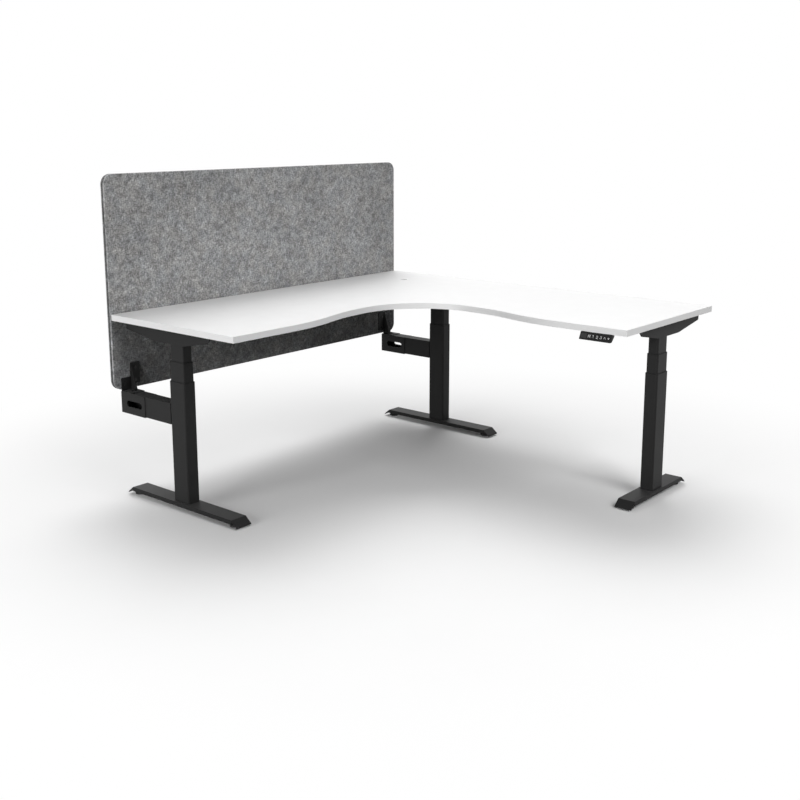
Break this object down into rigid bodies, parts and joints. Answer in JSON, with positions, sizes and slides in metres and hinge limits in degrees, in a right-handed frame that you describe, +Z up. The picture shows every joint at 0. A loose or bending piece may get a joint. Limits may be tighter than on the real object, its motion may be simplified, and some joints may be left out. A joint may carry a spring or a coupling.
{
  "type": "height-adjustable corner desk",
  "caption": "L-shaped white sit-stand desk with a curved inner edge on black telescopic legs, with a grey felt screen fixed behind one wing.",
  "frame": {"origin": "bottom centre of the whole desk's box, on the floor", "axes": "+Z up; +Y from the sitter towards the screen; the main wing runs along X behind, the return runs towards -Y on the +X side"},
  "size_m": [1.8, 1.828, 1.348],
  "materials": {
    "white_board": "white melamine on board, fine orange-peel texture",
    "white_edging": "white plastic edging",
    "white_plastic": "moulded white plastic",
    "black_metal": "matt black powder coat",
    "steel": "zinc-plated steel",
    "black_bolts": "black plated steel",
    "black_plastic": "moulded black plastic",
    "key_plastic": "moulded black plastic with white glyphs",
    "display_glass": "dark glossy window",
    "grey_felt": "marled grey pressed felt",
    "screen_core": "pale stiff pressed board",
    "black_rubber": "black rubber pad on a steel stem"
  },
  "bodies": {
    "base": {"left_foot": "black_metal", "corner_foot": "black_metal", "right_foot": "black_metal", "left_outer_column": "black_metal", "corner_outer_column": "black_metal", "right_outer_column": "black_metal", "outer_glides": "black_plastic", "base_nut_tubes": "steel", "left_arm": "black_metal", "corner_arm": "black_metal", "arm_saddles": "black_metal", "screen_brackets": "black_metal", "base_bolts": "black_bolts", "screen_front_felt": "grey_felt", "screen_core": "screen_core", "screen_back_felt": "grey_felt"},
    "top": {"desktop_board": "white_board", "desktop_edging": "white_edging", "cable_grommet": "white_plastic", "desktop_screws": "steel", "main_rails": "black_metal", "return_rails": "black_metal", "control_box": "black_plastic", "handset_case": "black_plastic", "handset_display": "display_glass", "left_inner_column": "black_metal", "corner_inner_column": "black_metal", "right_inner_column": "black_metal", "inner_glides": "black_plastic", "gear_motors": "steel", "left_side_bracket": "black_metal", "corner_side_bracket": "black_metal", "right_side_bracket": "black_metal"},
    "left_middle": {"left_middle_column": "black_metal", "left_middle_glides": "black_plastic", "left_middle_nut_tube": "steel"},
    "left_upper_screw": {"left_upper_screw": "steel"},
    "left_lower_screw": {"left_lower_screw": "steel"},
    "corner_middle": {"corner_middle_column": "black_metal", "corner_middle_glides": "black_plastic", "corner_middle_nut_tube": "steel"},
    "corner_upper_screw": {"corner_upper_screw": "steel"},
    "corner_lower_screw": {"corner_lower_screw": "steel"},
    "right_middle": {"right_middle_column": "black_metal", "right_middle_glides": "black_plastic", "right_middle_nut_tube": "steel"},
    "right_upper_screw": {"right_upper_screw": "steel"},
    "right_lower_screw": {"right_lower_screw": "steel"},
    "left_front_leveller": {"left_front_leveller": "black_rubber"},
    "left_back_leveller": {"left_back_leveller": "black_rubber"},
    "corner_front_leveller": {"corner_front_leveller": "black_rubber"},
    "corner_back_leveller": {"corner_back_leveller": "black_rubber"},
    "right_front_leveller": {"right_front_leveller": "black_rubber"},
    "right_back_leveller": {"right_back_leveller": "black_rubber"},
    "key_memory": {"key_memory": "key_plastic"},
    "key_one": {"key_one": "key_plastic"},
    "key_two": {"key_two": "key_plastic"},
    "key_three": {"key_three": "key_plastic"},
    "key_up": {"key_up": "key_plastic"},
    "key_down": {"key_down": "key_plastic"}
  },
  "joints": [
    {"name": "lift", "type": "slide", "parent": "base", "child": "top", "axis": [0, 0, 1], "range_m": [-0.13, 0.52]},
    {"name": "left_middle_slide", "type": "slide", "parent": "base", "child": "left_middle", "axis": [0, 0, 1], "range_m": [-0.065, 0.26]},
    {"name": "left_upper_screw_turn", "type": "hinge", "parent": "top", "child": "left_upper_screw", "pos_m": [-0.834, 0.525, 0.3], "axis": [0, 0, 1], "range_deg": [-2340, 9360]},
    {"name": "left_lower_screw_turn", "type": "hinge", "parent": "left_middle", "child": "left_lower_screw", "pos_m": [-0.834, 0.525, 0.3], "axis": [0, 0, 1], "range_deg": [-2340, 9360]},
    {"name": "corner_middle_slide", "type": "slide", "parent": "base", "child": "corner_middle", "axis": [0, 0, 1], "range_m": [-0.065, 0.26]},
    {"name": "corner_upper_screw_turn", "type": "hinge", "parent": "top", "child": "corner_upper_screw", "pos_m": [0.834, 0.525, 0.3], "axis": [0, 0, 1], "range_deg": [-2340, 9360]},
    {"name": "corner_lower_screw_turn", "type": "hinge", "parent": "corner_middle", "child": "corner_lower_screw", "pos_m": [0.834, 0.525, 0.3], "axis": [0, 0, 1], "range_deg": [-2340, 9360]},
    {"name": "right_middle_slide", "type": "slide", "parent": "base", "child": "right_middle", "axis": [0, 0, 1], "range_m": [-0.065, 0.26]},
    {"name": "right_upper_screw_turn", "type": "hinge", "parent": "top", "child": "right_upper_screw", "pos_m": [0.539, -0.848, 0.3], "axis": [0, 0, 1], "range_deg": [-2340, 9360]},
    {"name": "right_lower_screw_turn", "type": "hinge", "parent": "right_middle", "child": "right_lower_screw", "pos_m": [0.539, -0.848, 0.3], "axis": [0, 0, 1], "range_deg": [-2340, 9360]},
    {"name": "left_front_leveller_screw", "type": "slide", "parent": "base", "child": "left_front_leveller", "axis": [0, 0, -1], "range_m": [0, 0.008]},
    {"name": "left_back_leveller_screw", "type": "slide", "parent": "base", "child": "left_back_leveller", "axis": [0, 0, -1], "range_m": [0, 0.008]},
    {"name": "corner_front_leveller_screw", "type": "slide", "parent": "base", "child": "corner_front_leveller", "axis": [0, 0, -1], "range_m": [0, 0.008]},
    {"name": "corner_back_leveller_screw", "type": "slide", "parent": "base", "child": "corner_back_leveller", "axis": [0, 0, -1], "range_m": [0, 0.008]},
    {"name": "right_front_leveller_screw", "type": "slide", "parent": "base", "child": "right_front_leveller", "axis": [0, 0, -1], "range_m": [0, 0.008]},
    {"name": "right_back_leveller_screw", "type": "slide", "parent": "base", "child": "right_back_leveller", "axis": [0, 0, -1], "range_m": [0, 0.008]},
    {"name": "key_memory_press", "type": "slide", "parent": "top", "child": "key_memory", "axis": [0.8949, 0, -0.4462], "range_m": [0, 0.001], "stiffness_N_per_m": 500},
    {"name": "key_one_press", "type": "slide", "parent": "top", "child": "key_one", "axis": [0.8949, 0, -0.4462], "range_m": [0, 0.001], "stiffness_N_per_m": 500},
    {"name": "key_two_press", "type": "slide", "parent": "top", "child": "key_two", "axis": [0.8949, 0, -0.4462], "range_m": [0, 0.001], "stiffness_N_per_m": 500},
    {"name": "key_three_press", "type": "slide", "parent": "top", "child": "key_three", "axis": [0.8949, 0, -0.4462], "range_m": [0, 0.001], "stiffness_N_per_m": 500},
    {"name": "key_up_press", "type": "slide", "parent": "top", "child": "key_up", "axis": [0.8949, 0, -0.4462], "range_m": [0, 0.001], "stiffness_N_per_m": 500},
    {"name": "key_down_press", "type": "slide", "parent": "top", "child": "key_down", "axis": [0.8949, 0, -0.4462], "range_m": [0, 0.001], "stiffness_N_per_m": 500}
  ],
  "couplings": [
    {"joint": "left_middle_slide", "follows": "lift", "ratio": 0.5},
    {"joint": "left_upper_screw_turn", "follows": "lift", "rad_per_m": 314.16},
    {"joint": "left_lower_screw_turn", "follows": "lift", "rad_per_m": 314.16},
    {"joint": "corner_middle_slide", "follows": "lift", "ratio": 0.5},
    {"joint": "corner_upper_screw_turn", "follows": "lift", "rad_per_m": 314.16},
    {"joint": "corner_lower_screw_turn", "follows": "lift", "rad_per_m": 314.16},
    {"joint": "right_middle_slide", "follows": "lift", "ratio": 0.5},
    {"joint": "right_upper_screw_turn", "follows": "lift", "rad_per_m": 314.16},
    {"joint": "right_lower_screw_turn", "follows": "lift", "rad_per_m": 314.16}
  ]
}
